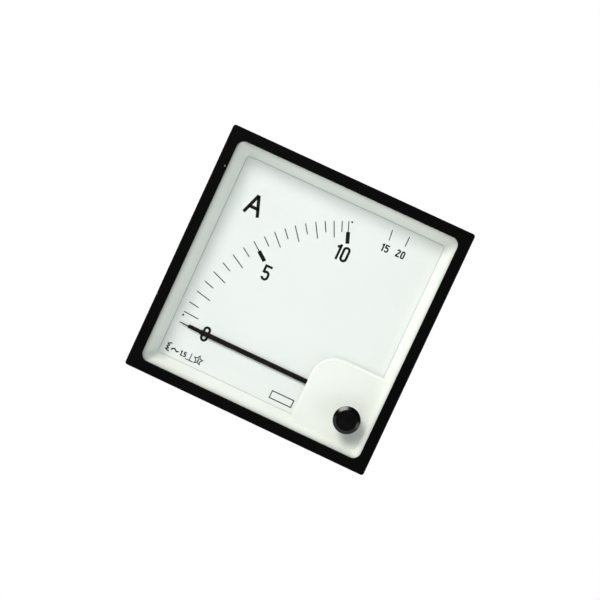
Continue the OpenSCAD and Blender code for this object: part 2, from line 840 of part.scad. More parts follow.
// Lever on the front bearing: a fork for the eccentric pin and a post for the hairspring
module zero_lever() {
    far = reach + 2 * pin_throw + 1;
    color([0.75, 0.76, 0.78]) at_pivot(adjuster_dir) {
        slab(lever_y, lever_y + lever_t) difference() {
            union() {
                circle(3.2);
                translate([0, -1.5]) square([far, 3]);
            }
            circle(jewel_r + run_gap);
            translate([reach - pin_throw - 1, -pin_r - 0.1]) square([far, 2 * pin_r + 0.2]);
        }
        rod(stud_post_at, 0, stud_post_r, lever_y + lever_t / 2, spring_y + spring_h);
    }
}

// Flat spiral from the collet to the lever's post
module hairspring() {
    steps = 24;
    t = 0.07;
    r0 = collet_r + 0.12;
    r1 = stud_post_at - stud_post_r - 0.1;
    n = steps * spring_turns;
    grow = (r1 - r0) / n;
    inner = [for (i = [0 : n]) (r0 - t + i * grow) * [cos(i * 360 / steps), sin(i * 360 / steps)]];
    outer = [for (i = [n : -1 : 0]) (r0 + t + i * grow) * [cos(i * 360 / steps), sin(i * 360 / steps)]];
    color([0.65, 0.5, 0.3]) at_pivot(adjuster_dir)
        slab(spring_y, spring_y + spring_h) polygon(concat(inner, outer));
}

module zero_adjuster() {
    head_y = glass_y - seat_gap;
    face_y = head_y - adjuster_h;
    shaft_end = lever_y - 0.4;
    ring_y = glass_y + glass_t + 0.1;
    color([0.05, 0.05, 0.06]) difference() {
        union() {
            turned(adjuster_at[0], adjuster_at[1]) {
                translate([0, face_y]) square([adjuster_r - adjuster_round, adjuster_h]);
                translate([0, face_y + adjuster_round])
                    square([adjuster_r, adjuster_h - adjuster_round]);
                intersection() {
                    translate([adjuster_r - adjuster_round, face_y + adjuster_round])
                        circle(adjuster_round);
                    translate([0, face_y]) square([adjuster_r, adjuster_h]);
                }
                adjuster_neck(head_y, ring_y, shaft_end);
            }
            rod(adjuster_at[0] + pin_throw * cos(adjuster_dir),
                adjuster_at[1] + pin_throw * sin(adjuster_dir), pin_r, shaft_end - 0.2,
                lever_y + lever_t + 0.2);
        }
        turned(adjuster_at[0], adjuster_at[1])
            translate([0.68 * adjuster_r, face_y - 1]) square([0.35, 1.2]);
        translate([adjuster_at[0], face_y, adjuster_at[1]])
            cube([slot_w, 2 * slot_deep, 1.02 * adjuster_r], center = true);
    }
}

// Neck in the glass, groove for the retaining ring, and shaft
module adjuster_neck(head_y, ring_y, shaft_end) {
    translate([0, head_y - 0.1]) square([neck_r, ring_y - head_y + 0.1]);
    translate([0, ring_y - 0.1]) square([neck_groove_r, 1]);
    translate([0, ring_y + 0.55]) square([adjuster_shaft_r, shaft_end - ring_y - 0.55]);
}

module adjuster_ring() {
    ring_y = glass_y + glass_t + 0.1;
    color([0.6, 0.6, 0.62]) difference() {
        ring(adjuster_at[0], adjuster_at[1], neck_groove_r + seat_gap, neck_r + 1.2,
            ring_y + 0.03, ring_y + 0.5);
        translate([adjuster_at[0], ring_y, adjuster_at[1] - neck_r])
            cube([2.4, 4, 2 * neck_r - 1.2], center = true);
    }
}

// ---- Mounting straps, with the screws that draw them on to the panel ----

module strap() {
    inner = body_half + loose_gap;
    difference() {
        union() {
            translate([inner, panel_t, -strap_w / 2])
                cube([strap_t, lug_y + strap_t - panel_t, strap_w]);
            translate([inner, panel_t, -strap_w / 2]) cube([strap_t + strap_foot, strap_t, strap_w]);
            translate([strap_screw_x - 4.6, lug_y, -strap_w / 2])
                cube([inner + strap_t - strap_screw_x + 4.6, strap_t, strap_w]);
        }
        rod(strap_screw_x, 0, strap_screw_r + 0.2, lug_y - 1, lug_y + strap_t + 1);
    }
}

module strap_screw() {
    slot_screw(strap_screw_x, 0, lug_y + strap_t + seat_gap, -1, strap_screw_r, strap_screw_len,
        3.5, 2.6);
}

module left_strap() {
    color([0.72, 0.73, 0.75]) mirror([1, 0, 0]) strap();
}

module left_strap_screw() {
    color([0.72, 0.73, 0.75]) mirror([1, 0, 0]) strap_screw();
}

module right_strap() {
    color([0.72, 0.73, 0.75]) strap();
}

module right_strap_screw() {
    color([0.72, 0.73, 0.75]) strap_screw();
}

case();
bezel_frame();
window_glass();
dial_mask();
dial_plate();
stop_pins();
movement_frame();
front_bridge();
rear_bridge();
bridge_screws();
movement_screws();
front_bearing();
rear_bearing();
coil_bobbin();
coil_winding();
coil_leads();
fixed_iron();
damping_chamber();
chamber_cover();
terminal_studs();
terminal_washers();
spring_washers();
terminal_nuts();
spindle();
pointer();
pointer_boss();
counterweights();
moving_iron();
damping_vane();
zero_lever();
hairspring();
zero_adjuster();
adjuster_ring();
left_strap();
left_strap_screw();
right_strap();
right_strap_screw();
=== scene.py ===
"""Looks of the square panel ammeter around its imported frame.

It holds the materials, the ink on the dial, the sloping rim of the zero adjuster,
the floor, the light and the camera.
"""

import json
import math

import bmesh
import bpy
from mathutils import Matrix, Vector


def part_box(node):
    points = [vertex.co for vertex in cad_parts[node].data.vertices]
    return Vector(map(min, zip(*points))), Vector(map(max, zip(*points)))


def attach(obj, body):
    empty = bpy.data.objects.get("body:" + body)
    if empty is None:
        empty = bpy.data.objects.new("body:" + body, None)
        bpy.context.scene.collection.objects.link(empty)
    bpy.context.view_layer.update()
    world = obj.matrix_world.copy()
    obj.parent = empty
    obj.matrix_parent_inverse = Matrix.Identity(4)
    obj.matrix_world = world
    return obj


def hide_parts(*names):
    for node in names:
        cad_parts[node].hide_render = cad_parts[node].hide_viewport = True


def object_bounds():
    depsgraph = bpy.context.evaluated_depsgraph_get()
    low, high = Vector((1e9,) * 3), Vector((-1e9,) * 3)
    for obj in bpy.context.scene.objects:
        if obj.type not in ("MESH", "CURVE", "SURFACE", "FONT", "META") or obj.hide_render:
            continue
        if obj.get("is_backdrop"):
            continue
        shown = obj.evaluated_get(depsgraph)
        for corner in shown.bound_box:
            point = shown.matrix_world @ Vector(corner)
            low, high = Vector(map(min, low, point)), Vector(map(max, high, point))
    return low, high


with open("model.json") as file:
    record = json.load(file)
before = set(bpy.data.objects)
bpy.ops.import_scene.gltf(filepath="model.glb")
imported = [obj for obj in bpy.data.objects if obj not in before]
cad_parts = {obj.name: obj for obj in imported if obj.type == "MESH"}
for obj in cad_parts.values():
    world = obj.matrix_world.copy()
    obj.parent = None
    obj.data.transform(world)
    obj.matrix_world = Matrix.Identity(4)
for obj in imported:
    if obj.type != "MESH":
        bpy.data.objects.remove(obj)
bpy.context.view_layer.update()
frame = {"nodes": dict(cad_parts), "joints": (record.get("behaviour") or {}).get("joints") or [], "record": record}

MM = 0.001
NODES = frame["nodes"]
SLOTS = {s["node"]: s["material_slot"] for s in frame["record"]["subparts"]}
JOINTS = {j["name"]: j for j in frame["joints"]}
WHITE = (1.0, 1.0, 1.0)


def add_object(name, data):
    obj = bpy.data.objects.new(name, data)
    bpy.context.scene.collection.objects.link(obj)
    return obj


# ---- Node trees ----

NOISE_LOW, NOISE_HIGH = 0.3, 0.7  # most of a noise's values lie between these
MIX_FACTOR, MIX_A, MIX_B, MIX_RESULT = 0, 6, 7, 2  # sockets of a Mix node for colours


class Graph:
    """A short way to write a node tree: every call adds a node and returns its output."""

    def __init__(self, owner, out_kind="ShaderNodeOutputMaterial"):
        owner.use_nodes = True
        self.owner = owner
        self.tree = owner.node_tree
        self.tree.nodes.clear()
        self.out = self.tree.nodes.new(out_kind)

    def add(self, kind, inputs=None, output=0, **props):
        node = self.tree.nodes.new(kind)
        for key, value in props.items():
            setattr(node, key, value)
        for key, value in (inputs or {}).items():
            self.put(node, key, value)
        return node.outputs[output]

    def put(self, node, key, value):
        """Link a socket, or set its own value."""
        socket = node.inputs[key]
        if isinstance(value, bpy.types.NodeSocket):
            self.tree.links.new(value, socket)
        elif isinstance(value, tuple) and len(value) == 3 and socket.type == "RGBA":
            socket.default_value = (*value, 1.0)
        else:
            socket.default_value = value

    def coords(self):
        return self.add("ShaderNodeTexCoord", output="Object")

    def noise(self, size_mm, detail, roughness, vector=None):
        """Noise with features about size_mm across, with its octaves and their strength."""
        return self.add(
            "ShaderNodeTexNoise",
            {
                "Vector": vector or self.coords(),
                "Scale": 1 / (size_mm * MM),
                "Detail": detail,
                "Roughness": roughness,
            },
        )

    def span(self, value, a, b, to_a=0.0, to_b=1.0):
        return self.add(
            "ShaderNodeMapRange",
            {"Value": value, "From Min": a, "From Max": b, "To Min": to_a, "To Max": to_b},
        )

    def vary(self, noise, to_a=0.0, to_b=1.0):
        """A value that follows a noise from to_a to to_b."""
        return self.span(noise, NOISE_LOW, NOISE_HIGH, to_a, to_b)

    def math(self, operation, a, b=0.0):
        return self.add("ShaderNodeMath", {0: a, 1: b}, operation=operation)

    def from_middle(self):
        """The greater of the sideways and upward distances from the frame's middle."""
        axes = self.tree.nodes.new("ShaderNodeSeparateXYZ")
        self.put(axes, 0, self.coords())
        sideways = self.math("ABSOLUTE", axes.outputs["X"])
        upward = self.math("ABSOLUTE", axes.outputs["Z"])
        return self.math("MAXIMUM", sideways, upward)

    def mix(self, factor, a, b):
        return self.add(
            "ShaderNodeMix",
            {MIX_FACTOR: factor, MIX_A: a, MIX_B: b},
            output=MIX_RESULT,
            data_type="RGBA",
        )

    def tones(self, noise, dark, light):
        """A colour that follows a noise from dark to light."""
        return self.mix(self.vary(noise), dark, light)

    def bump(self, height, depth_mm):
        return self.add(
            "ShaderNodeBump", {"Height": height, "Distance": depth_mm * MM, "Strength": 1.0}
        )

    def finish(self, shader):
        self.tree.links.new(shader, self.out.inputs["Surface"])
        return self.owner

    def principled(self, **inputs):
        """A Principled surface; an underscore stands for a space in a socket's name."""
        named = {key.replace("_", " "): value for key, value in inputs.items()}
        return self.finish(self.add("ShaderNodeBsdfPrincipled", named))


def material_graph(name):
    return Graph(bpy.data.materials.new(name))


# ---- Materials ----

BORDER = 4.1 * MM  # width of the black frame
RING = 3.8 * MM  # width of the mask's sloped ring
WINDOW_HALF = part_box("bezel_frame")[1].z - BORDER  # half of the opening in the frame
DIAL_WINDOW_HALF = WINDOW_HALF - RING  # half of the opening in the mask


def plastic(name, dark, light, rough, grain_mm, depth_mm, patch_mm, specular=0.5):
    """Moulded plastic: slow tone patches, a fine mould texture and a slightly uneven gloss."""
    g = material_graph(name)
    patches = g.noise(patch_mm, 3.0, 0.55)
    grain = g.noise(grain_mm, 2.0, 0.5)
    return g.principled(
        Base_Color=g.tones(patches, dark, light),
        Roughness=g.vary(grain, rough - 0.05, rough + 0.06),
        Specular_IOR_Level=specular,
        Normal=g.bump(grain, depth_mm),
    )


MARK_STRETCH = 14.0  # tool marks lie this many times closer across than along
METAL_PATCH_MM = 5.0
WEAR_LOW, WEAR_HIGH = 0.7, 1.3  # most sums of the marks and patches lie between these


def metal(name, dark, light, rough, across, mark_mm=0.25, depth_mm=0.004):
    """Worked metal: tool marks across one axis, tone patches and an uneven polish."""
    g = material_graph(name)
    stretch = [1.0, 1.0, 1.0]
    stretch["xyz".index(across)] = MARK_STRETCH
    marks_at = g.add("ShaderNodeMapping", {"Vector": g.coords(), "Scale": tuple(stretch)})
    marks = g.noise(mark_mm * MARK_STRETCH, 2.0, 0.6, marks_at)
    patches = g.noise(METAL_PATCH_MM, 4.0, 0.6)
    wear = g.math("ADD", marks, patches)
    return g.principled(
        Base_Color=g.tones(patches, dark, light),
        Metallic=1.0,
        Roughness=g.span(wear, WEAR_LOW, WEAR_HIGH, rough - 0.06, rough + 0.1),
        Normal=g.bump(marks, depth_mm),
    )


def bezel_material():
    """Near-black frame with a warm tint, a soft mould texture and a few pale handling specks."""
    speck_grid_mm = 8.0
    speck_core, speck_edge = 0.02, 0.045  # distances from a speck's middle, as shares of the grid
    g = material_graph("bezel_black")
    patches = g.noise(16.0, 3.0, 0.55)
    grain = g.noise(0.28, 3.0, 0.55)
    specks = g.add(
        "ShaderNodeTexVoronoi", {"Vector": g.coords(), "Scale": 1 / (speck_grid_mm * MM)}
    )
    black = g.tones(patches, (0.0012, 0.001, 0.001), (0.0022, 0.0017, 0.0018))
    worn = g.mix(g.span(specks, speck_core, speck_edge, 1.0, 0.0), black, (0.26, 0.25, 0.24))
    return g.principled(
        Base_Color=worn,
        Roughness=g.vary(grain, 0.42, 0.54),
        Specular_IOR_Level=0.045,
        Normal=g.bump(grain, 0.006),
    )


def mask_material():
    """Ivory moulding: a satin skin with faint flow patches, greyed by painted shade under the lip."""
    shade_width, shade_most, rise = 1.5 * MM, 0.5, 1.5
    g = material_graph("mask_ivory")
    patches = g.noise(12.0, 3.0, 0.5)
    grain = g.noise(0.3, 2.0, 0.5)
    ivory = g.tones(patches, (0.915, 0.915, 0.865), (0.94, 0.94, 0.9))
    # Painted shade: the ivory darkens to grey towards the frame's lip on all four sides, in place of the lip's
    # shadow.
    near_lip = g.span(g.from_middle(), WINDOW_HALF - shade_width, WINDOW_HALF)
    painted_shade = g.math("POWER", near_lip, rise)
    shaded_ivory = g.mix(g.math("MULTIPLY", painted_shade, shade_most), ivory, (0.34, 0.35, 0.31))
    return g.principled(
        Base_Color=shaded_ivory,
        Roughness=g.vary(grain, 0.42, 0.5),
        Specular_IOR_Level=0.35,
        Subsurface_Weight=0.06,
        Subsurface_Radius=(1.2 * MM, 1.0 * MM, 0.8 * MM),
        Normal=g.bump(grain, 0.003),
    )


def dial_material():
    """White lacquer on sheet: an almost even white, a faint orange peel and a painted shade line at its edge."""
    shade_start, shade_full, shade_most = 0.45 * MM, 0.1 * MM, 0.5
    g = material_graph("dial_lacquer")
    patches = g.noise(18.0, 3.0, 0.5)
    peel = g.noise(0.8, 2.0, 0.45)
    white = g.tones(patches, (0.865, 0.875, 0.86), (0.88, 0.89, 0.875))
    # Painted shade: a thin dark line on the dial along the foot of the mask's ring.
    start, full = DIAL_WINDOW_HALF - shade_start, DIAL_WINDOW_HALF - shade_full
    painted_shade = g.span(g.from_middle(), start, full, 0.0, shade_most)
    return g.principled(
        Base_Color=g.mix(painted_shade, white, (0.3, 0.36, 0.34)),
        Roughness=g.vary(peel, 0.5, 0.6),
        Specular_IOR_Level=0.3,
        Normal=g.bump(peel, 0.002),
    )


def ink_material():
    """Screen ink: a dense matt black with a slightly uneven body."""
    g = material_graph("dial_ink")
    body = g.noise(0.6, 3.0, 0.6)
    return g.principled(
        Base_Color=g.tones(body, (0.005, 0.005, 0.006), (0.01, 0.01, 0.0115)),
        Roughness=g.vary(body, 0.55, 0.7),
        Specular_IOR_Level=0.12,
    )


def glass_material():
    """Clear window: light passes straight through, and it mirrors a little by its angle."""
    mirror_head_on, mirror_edge_on, rise = 0.012, 0.9, 5.0
    clean, smudged = 0.015, 0.06
    g = material_graph("window_clear")
    smudge = g.noise(9.0, 4.0, 0.6)
    gloss = g.add(
        "ShaderNodeBsdfGlossy",
        {"Color": WHITE, "Roughness": g.span(smudge, 0.35, NOISE_HIGH, clean, smudged)},
    )
    clear = g.add("ShaderNodeBsdfTransparent", {"Color": (0.985, 0.992, 0.99)})
    edge_on = g.math("POWER", g.add("ShaderNodeLayerWeight", {"Blend": 0.5}, "Facing"), rise)
    mirrored = g.span(edge_on, 0.0, 1.0, mirror_head_on, mirror_edge_on)
    return g.finish(g.add("ShaderNodeMixShader", {0: mirrored, 1: clear, 2: gloss}))


def adjuster_material():
    """Glossy black moulding with a slightly uneven polish."""
    g = material_graph("adjuster_gloss")
    patches = g.noise(2.5, 3.0, 0.5)
    return g.principled(
        Base_Color=g.tones(patches, (0.0008, 0.0008, 0.0011), (0.0014, 0.0014, 0.0018)),
        Roughness=g.vary(patches, 0.17, 0.23),
        Specular_IOR_Level=0.36,
        Coat_Weight=0.15,
        Coat_Roughness=0.12,
    )


def pointer_material():
    """Dark brown-black lacquer on the pointer's thin sheet."""
    g = material_graph("pointer_lacquer")
    patches = g.noise(2.0, 3.0, 0.5)
    return g.principled(
        Base_Color=g.tones(patches, (0.0045, 0.0028, 0.0024), (0.008, 0.0048, 0.004)),
        Roughness=g.vary(patches, 0.4, 0.52),
        Specular_IOR_Level=0.15,
    )


def winding_material():
    """Enamelled copper: clear varnish over metal with uneven tone."""
    g = material_graph("copper_enamel")
    patches = g.noise(1.5, 3.0, 0.55)
    return g.principled(
        Base_Color=g.tones(patches, (0.5, 0.2, 0.09), (0.62, 0.28, 0.13)),
        Metallic=0.9,
        Roughness=g.vary(patches, 0.22, 0.34),
        Coat_Weight=0.6,
        Coat_Roughness=0.12,
    )


def make_materials():
    """One material for each of the record's slots."""
    return {
        "case": plastic(
            "case_black",
            dark=(0.006, 0.006, 0.0068),
            light=(0.0105, 0.0105, 0.0118),
            rough=0.52,
            grain_mm=0.35,
            depth_mm=0.008,
            patch_mm=22.0,
            specular=0.3,
        ),
        "bezel": bezel_material(),
        "glass": glass_material(),
        "mask": mask_material(),
        "dial": dial_material(),
        "steel": metal(
            "zinc_steel",
            dark=(0.5, 0.51, 0.53),
            light=(0.64, 0.645, 0.65),
            rough=0.32,
            across="y",
        ),
        "diecast": metal(
            "diecast_alloy",
            dark=(0.36, 0.37, 0.38),
            light=(0.46, 0.47, 0.48),
            rough=0.48,
            across="x",
            mark_mm=0.5,
            depth_mm=0.01,
        ),
        "brass": metal(
            "turned_brass",
            dark=(0.6, 0.43, 0.16),
            light=(0.74, 0.56, 0.25),
            rough=0.26,
            across="y",
            mark_mm=0.15,
        ),
        "bobbin": plastic(
            "bobbin_moulding",
            dark=(0.62, 0.55, 0.4),
            light=(0.7, 0.63, 0.48),
            rough=0.5,
            grain_mm=0.3,
            depth_mm=0.004,
            patch_mm=6.0,
        ),
        "copper": winding_material(),
        "iron": metal(
            "soft_iron",
            dark=(0.27, 0.27, 0.28),
            light=(0.38, 0.38, 0.39),
            rough=0.42,
            across="x",
            mark_mm=0.3,
            depth_mm=0.006,
        ),
        "chamber": plastic(
            "chamber_moulding",
            dark=(0.05, 0.05, 0.055),
            light=(0.075, 0.075, 0.08),
            rough=0.45,
            grain_mm=0.3,
            depth_mm=0.004,
            patch_mm=7.0,
        ),
        "pointer": pointer_material(),
        "alu": metal(
            "bright_sheet",
            dark=(0.72, 0.73, 0.74),
            light=(0.82, 0.83, 0.84),
            rough=0.3,
            across="x",
            mark_mm=0.2,
            depth_mm=0.003,
        ),
        "bronze": metal(
            "spring_bronze",
            dark=(0.46, 0.28, 0.11),
            light=(0.58, 0.38, 0.17),
            rough=0.3,
            across="y",
            mark_mm=0.1,
            depth_mm=0.002,
        ),
        "adjuster": adjuster_material(),
    }


def dress_nodes(materials):
    for name, obj in NODES.items():
        obj.data.materials.clear()
        obj.data.materials.append(materials[SLOTS[name]])


# ---- Dial print, in mm, X right and Z up ----

DIAL_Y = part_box("dial_plate")[0].y / MM
INK_FRONT = DIAL_Y - 0.02
INK_BACK = DIAL_Y - 0.001  # just clear of the lacquer
WELD = 1e-7  # points closer than this become one, m
MITRE_LEAST = 0.35  # keeps the mitre of a sharp corner short
DISC_STEPS = 20


def arc(centre, r, a0, a1, steps=18):
    """Points on a circle, angles in degrees anticlockwise from +X."""
    angles = [math.radians(a0 + (a1 - a0) * i / steps) for i in range(steps + 1)]
    return [(centre[0] + r * math.cos(a), centre[1] + r * math.sin(a)) for a in angles]


class Print:
    """Flat ink shapes on the dial's face."""

    def __init__(self, name, material):
        self.name, self.material, self.bm = name, material, bmesh.new()

    def polygon(self, points):
        """One closed outline as a thin prism, open at the back."""
        front, back = (
            [self.bm.verts.new((x * MM, y * MM, z * MM)) for x, z in points]
            for y in (INK_FRONT, INK_BACK)
        )
        self.bm.faces.new(front)
        n = len(points)
        for i in range(n):
            j = (i + 1) % n
            self.bm.faces.new((front[i], back[i], back[j], front[j]))

    def stroke(self, path, width, closed=False):
        """A line of even width along a path, mitred at its corners."""
        points = [Vector(p) for p in path]
        n = len(points)
        left, right = [], []
        for i, p in enumerate(points):
            arriving = (p - points[i - 1]).normalized() if i or closed else None
            leaving = (points[(i + 1) % n] - p).normalized() if i < n - 1 or closed else arriving
            along = ((arriving or leaving) + leaving).normalized()
            normal = Vector((-along.y, along.x))
            mitre = max(MITRE_LEAST, normal.dot(Vector((-leaving.y, leaving.x))))
            off = normal * (width / 2 / mitre)
            left.append(p + off)
            right.append(p - off)
        for i in range(n if closed else n - 1):
            j = (i + 1) % n
            self.polygon([left[i], left[j], right[j], right[i]])

    def disc(self, centre, r):
        self.polygon(arc(centre, r, 0, 360, DISC_STEPS)[:-1])

    def done(self):
        """Make the piece in its dark ink."""
        mesh = bpy.data.meshes.new(self.name)
        bmesh.ops.remove_doubles(self.bm, verts=self.bm.verts, dist=WELD)
        bmesh.ops.recalc_face_normals(self.bm, faces=self.bm.faces)
        self.bm.to_mesh(mesh)
        self.bm.free()
        mesh.materials.append(self.material)
        obj = add_object(self.name, mesh)
        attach(obj, "housing")


# A glyph is a list of strokes about its middle, each a path and whether it is closed.
# w and h are its width and height, and t is the width of its stroke.


def glyph_0(w, h, t):
    """A narrow zero: straight sides and round ends."""
    r = (w - t) / 2
    side = h / 2 - t / 2 - r
    return [(arc((0, side), r, 0, 180) + arc((0, -side), r, 180, 360), True)]


def glyph_1(w, h, t):
    """An upright and a short flag."""
    top = h / 2
    x = w * 0.16
    upright = [(x, -h / 2), (x, top)]
    flag = [(x - w * 0.5, top - h * 0.23), (x + t * 0.2, top - t * 0.62)]
    return [(upright, False), (flag, False)]


def glyph_2(w, h, t):
    """A round bowl that runs down to a flat foot."""
    r = (w - t) / 2
    low = -h / 2 + t / 2
    bowl = arc((0, h / 2 - t / 2 - r), r, 172, -28, 16)
    neck = bowl + [(-r, -h / 2 + t * 0.9), (-r, low)]
    foot = [(-w / 2, low), (w / 2, low)]
    return [(neck, False), (foot, False)]


def glyph_5(w, h, t):
    """A flag and upright over a long bowl."""
    r = (w - t) / 2
    top = h / 2 - t / 2
    bowl_low = -h / 2 + t / 2 + r
    bowl_top = bowl_low + h * 0.13
    flag = [(w / 2 - t * 0.1, top), (-r, top), (-r, bowl_top + r * 0.42)]
    bowl = arc((0, bowl_top), r, 152, 0, 12) + arc((0, bowl_low), r, 0, -168, 14)
    return [(flag, False), (bowl, False)]


def glyph_a(w, h, t):
    """Two legs and a low bar."""
    bar_share = 0.355  # height of the bar as a share of the letter's
    half = w / 2 - t * 0.5
    peak = (0, h / 2 - t * 0.25)
    bar_z = -h / 2 + h * bar_share
    reach = half * (1 - bar_share) + t * 0.1
    return [
        ([(-half, -h / 2), peak], False),
        ([(half, -h / 2), peak], False),
        ([(-reach, bar_z), (reach, bar_z)], False),
    ]


GLYPHS = {"0": glyph_0, "1": glyph_1, "2": glyph_2, "5": glyph_5, "A": glyph_a}
ONE_PITCH, ONE_WIDTH = 0.62, 0.8  # room and width of a 1, as shares of another digit's
POINT_R = 0.62  # radius of a decimal point as a share of the stroke


def write(ink, text, centre, height, width, stroke, gap):
    """Figures side by side about a centre."""
    pitches = {".": stroke, "1": width * ONE_PITCH}
    widths = [pitches.get(c, width) for c in text]
    x = centre[0] - (sum(widths) + gap * (len(text) - 1)) / 2
    for c, w in zip(text, widths):
        mid = x + w / 2
        if c == ".":
            ink.disc((mid, centre[1] - height / 2 + stroke / 2), stroke * POINT_R)
        else:
            shape_w = width * ONE_WIDTH if c == "1" else width
            for path, closed in GLYPHS[c](shape_w, height, stroke):
                ink.stroke([(mid + px, centre[1] + pz) for px, pz in path], stroke, closed)
        x += w + gap


# ---- Scale ----

HINGE_AT = JOINTS["pointer_hinge"]["pos_m"]
PIVOT = Vector((HINGE_AT[0] / MM, HINGE_AT[2] / MM))
TIP_R = (HINGE_AT[0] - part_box("pointer")[0].x) / MM
SCALE_R = TIP_R + 1.4  # outer ends of the marks

# Known points of the scale: amperes, and degrees from the zero
SCALE_POINTS = (
    (0, 0.0),
    (1, 3.8),
    (2, 11.8),
    (3, 20.3),
    (5, 37.0),
    (7, 51.6),
    (8.5, 61.6),
    (10, 69.4),
    (15, 84.0),
    (20, 90.0),
)


def deflection(amps):
    """Smooth rise of the moving iron's scale: a monotone cubic through its known points."""
    xs = [p[0] for p in SCALE_POINTS]
    ys = [p[1] for p in SCALE_POINTS]
    steps = [(ys[i + 1] - ys[i]) / (xs[i + 1] - xs[i]) for i in range(len(xs) - 1)]
    inner = [2 * a * b / (a + b) if a * b > 0 else 0.0 for a, b in zip(steps, steps[1:])]
    slopes = [steps[0], *inner, steps[-1]]
    i = max(k for k in range(len(steps)) if amps >= xs[k] or k == 0)
    h = xs[i + 1] - xs[i]
    t = (amps - xs[i]) / h
    return (
        (2 * t**3 - 3 * t**2 + 1) * ys[i]
        + (t**3 - 2 * t**2 + t) * h * slopes[i]
        + (-2 * t**3 + 3 * t**2) * ys[i + 1]
        + (t**3 - t**2) * h * slopes[i + 1]
    )


THIN = 0.36  # width of a mark
SHORT, MEDIUM, OVERLOAD = 4.1, 6.1, 4.0  # lengths of the marks
BAR_W, BAR_LEN, BAR_LAP = 1.45, 4.2, 0.1  # the bar under a main mark, and its overlap with it
ZERO_INSET = 0.3  # the zero's mark starts this much further in
MAIN_AMPS, OVERLOAD_AMPS = (5, 10), (15, 20)
RANGE_DOTS, DOT_R = ((-37.05, -23.65), (5.4, 33.75)), 0.38  # the ends of the working range


def tick(ink, amps, r_out, r_in, width=THIN):
    """A mark along the radius at one reading."""
    a = math.radians(180 - deflection(amps))
    d = Vector((math.cos(a), math.sin(a)))
    ink.stroke([PIVOT + d * r_out, PIVOT + d * r_in], width)


def bar(ink, amps):
    """The thick bar under a main mark."""
    tick(ink, amps, SCALE_R - SHORT + BAR_LAP, SCALE_R - SHORT - BAR_LEN, BAR_W)


def scale_marks(material):
    """Marks at each half ampere from 1 to 10, then those of the overload and the zero."""
    ink = Print("dial_scale", material)
    for half_amps in range(2, 21):
        amps = half_amps / 2
        main = amps in MAIN_AMPS
        length = MEDIUM if half_amps % 2 == 0 and not main else SHORT
        tick(ink, amps, SCALE_R, SCALE_R - length)
        if main:
            bar(ink, amps)
    for amps in OVERLOAD_AMPS:
        tick(ink, amps, SCALE_R, SCALE_R - OVERLOAD)
    tick(ink, 0, SCALE_R - ZERO_INSET, SCALE_R - SHORT)
    bar(ink, 0)
    for spot in RANGE_DOTS:
        ink.disc(spot, DOT_R)
    ink.done()


# Each figure: text, centre, height, width of a digit, stroke and gap
FIGURES = (
    ("0", (-26.48, -26.63), 5.95, 2.95, 0.92, 0.5),
    ("5", (-15.5, 3.46), 5.95, 3.05, 0.92, 0.5),
    ("10", (6.86, 21.82), 5.95, 2.95, 0.92, 0.5),
    ("15", (20.4, 30.18), 2.95, 1.65, 0.55, 0.3),
    ("20", (26.43, 30.5), 2.95, 1.55, 0.55, 0.3),
    ("A", (-29.93, 24.55), 8.05, 6.85, 1.25, 0.0),
)


def figures(material):
    """The scale's figures and its unit."""
    ink = Print("dial_figures", material)
    for figure in FIGURES:
        write(ink, *figure)
    ink.done()


# ---- Instrument signs ----

SIGN_Z = -36.65  # middle of their row

# Corners of the moving-iron sign's coil, from its middle
COIL = (
    (0.68, 1.75),
    (-0.85, 1.08),
    (0.2, 0.56),
    (-0.88, 0.0),
    (0.2, -0.52),
    (-0.92, -1.08),
    (0.68, -1.6),
)


def moving_iron_sign(ink, x):
    """A small coil drawn as an upright zigzag, each leg with its own square ends."""
    for (x0, z0), (x1, z1) in zip(COIL, COIL[1:]):
        ink.stroke([(x + x0, SIGN_Z + z0), (x + x1, SIGN_Z + z1)], 0.44)


def alternating_sign(ink, x):
    """A short wave."""
    half, height, turns, start, steps = 1.5, 0.36, 1.25, 0.02, 24
    wave = []
    for i in range(steps + 1):
        t = i / steps
        rise = height * math.cos(2 * math.pi * (turns * t + start))
        wave.append((x - half + 2 * half * t, SIGN_Z - 0.15 - rise))
    ink.stroke(wave, 0.54)


def upright_sign(ink, x):
    """An upright on a level foot: the meter stands upright in use."""
    top, foot, half = SIGN_Z + 1.35, SIGN_Z - 1.48, 1.6
    ink.stroke([(x, top), (x, foot)], 0.32)
    ink.stroke([(x - half, foot), (x + half, foot)], 0.34)


def test_voltage_sign(ink, x):
    """A star round a small figure."""
    outer_r, inner_r = 1.7, 0.86
    star = []
    for i in range(10):
        r = inner_r if i % 2 else outer_r
        a = math.radians(90 + 36 * i)
        star.append((x + r * math.cos(a), SIGN_Z + r * math.sin(a)))
    ink.stroke(star, 0.36, closed=True)
    write(ink, "2", (x, SIGN_Z - 0.02), height=1.2, width=0.74, stroke=0.3, gap=0.1)


def symbols(material):
    """The row of general instrument signs, from the left."""
    ink = Print("dial_symbols", material)
    moving_iron_sign(ink, -37.0)
    alternating_sign(ink, -34.4)
    write(ink, "1.5", (-30.95, SIGN_Z - 0.2), height=2.05, width=1.1, stroke=0.44, gap=0.12)
    upright_sign(ink, -27.95)
    test_voltage_sign(ink, -24.9)
    ink.done()


BOX_AT, BOX_W, BOX_H, BOX_LINE = (9.27, -36.48), 8.7, 2.8, 0.4


def plain_box(material):
    """The small frame low on the dial, left without a name."""
    ink = Print("dial_box", material)
    x, z = BOX_AT
    w, h = BOX_W / 2, BOX_H / 2
    corners = [(x - w, z - h), (x + w, z - h), (x + w, z + h), (x - w, z + h)]
    ink.stroke(corners, BOX_LINE, closed=True)
    ink.done()


# ---- Adjuster ----

HEAD_ROUND = 1.1  # radius of the head's round edge in the source, mm
RIM_FALL = 0.45  # fall of the rim's slope over its width
# How far out the rim reaches, in mm, at each share of the round's quarter turn.
# The first stretch is the slope, and the rest rounds its outer edge.
RIM_REACH = ((0.0, 0.0), (0.8, 1.02), (0.9, 1.08), (1.0, HEAD_ROUND))
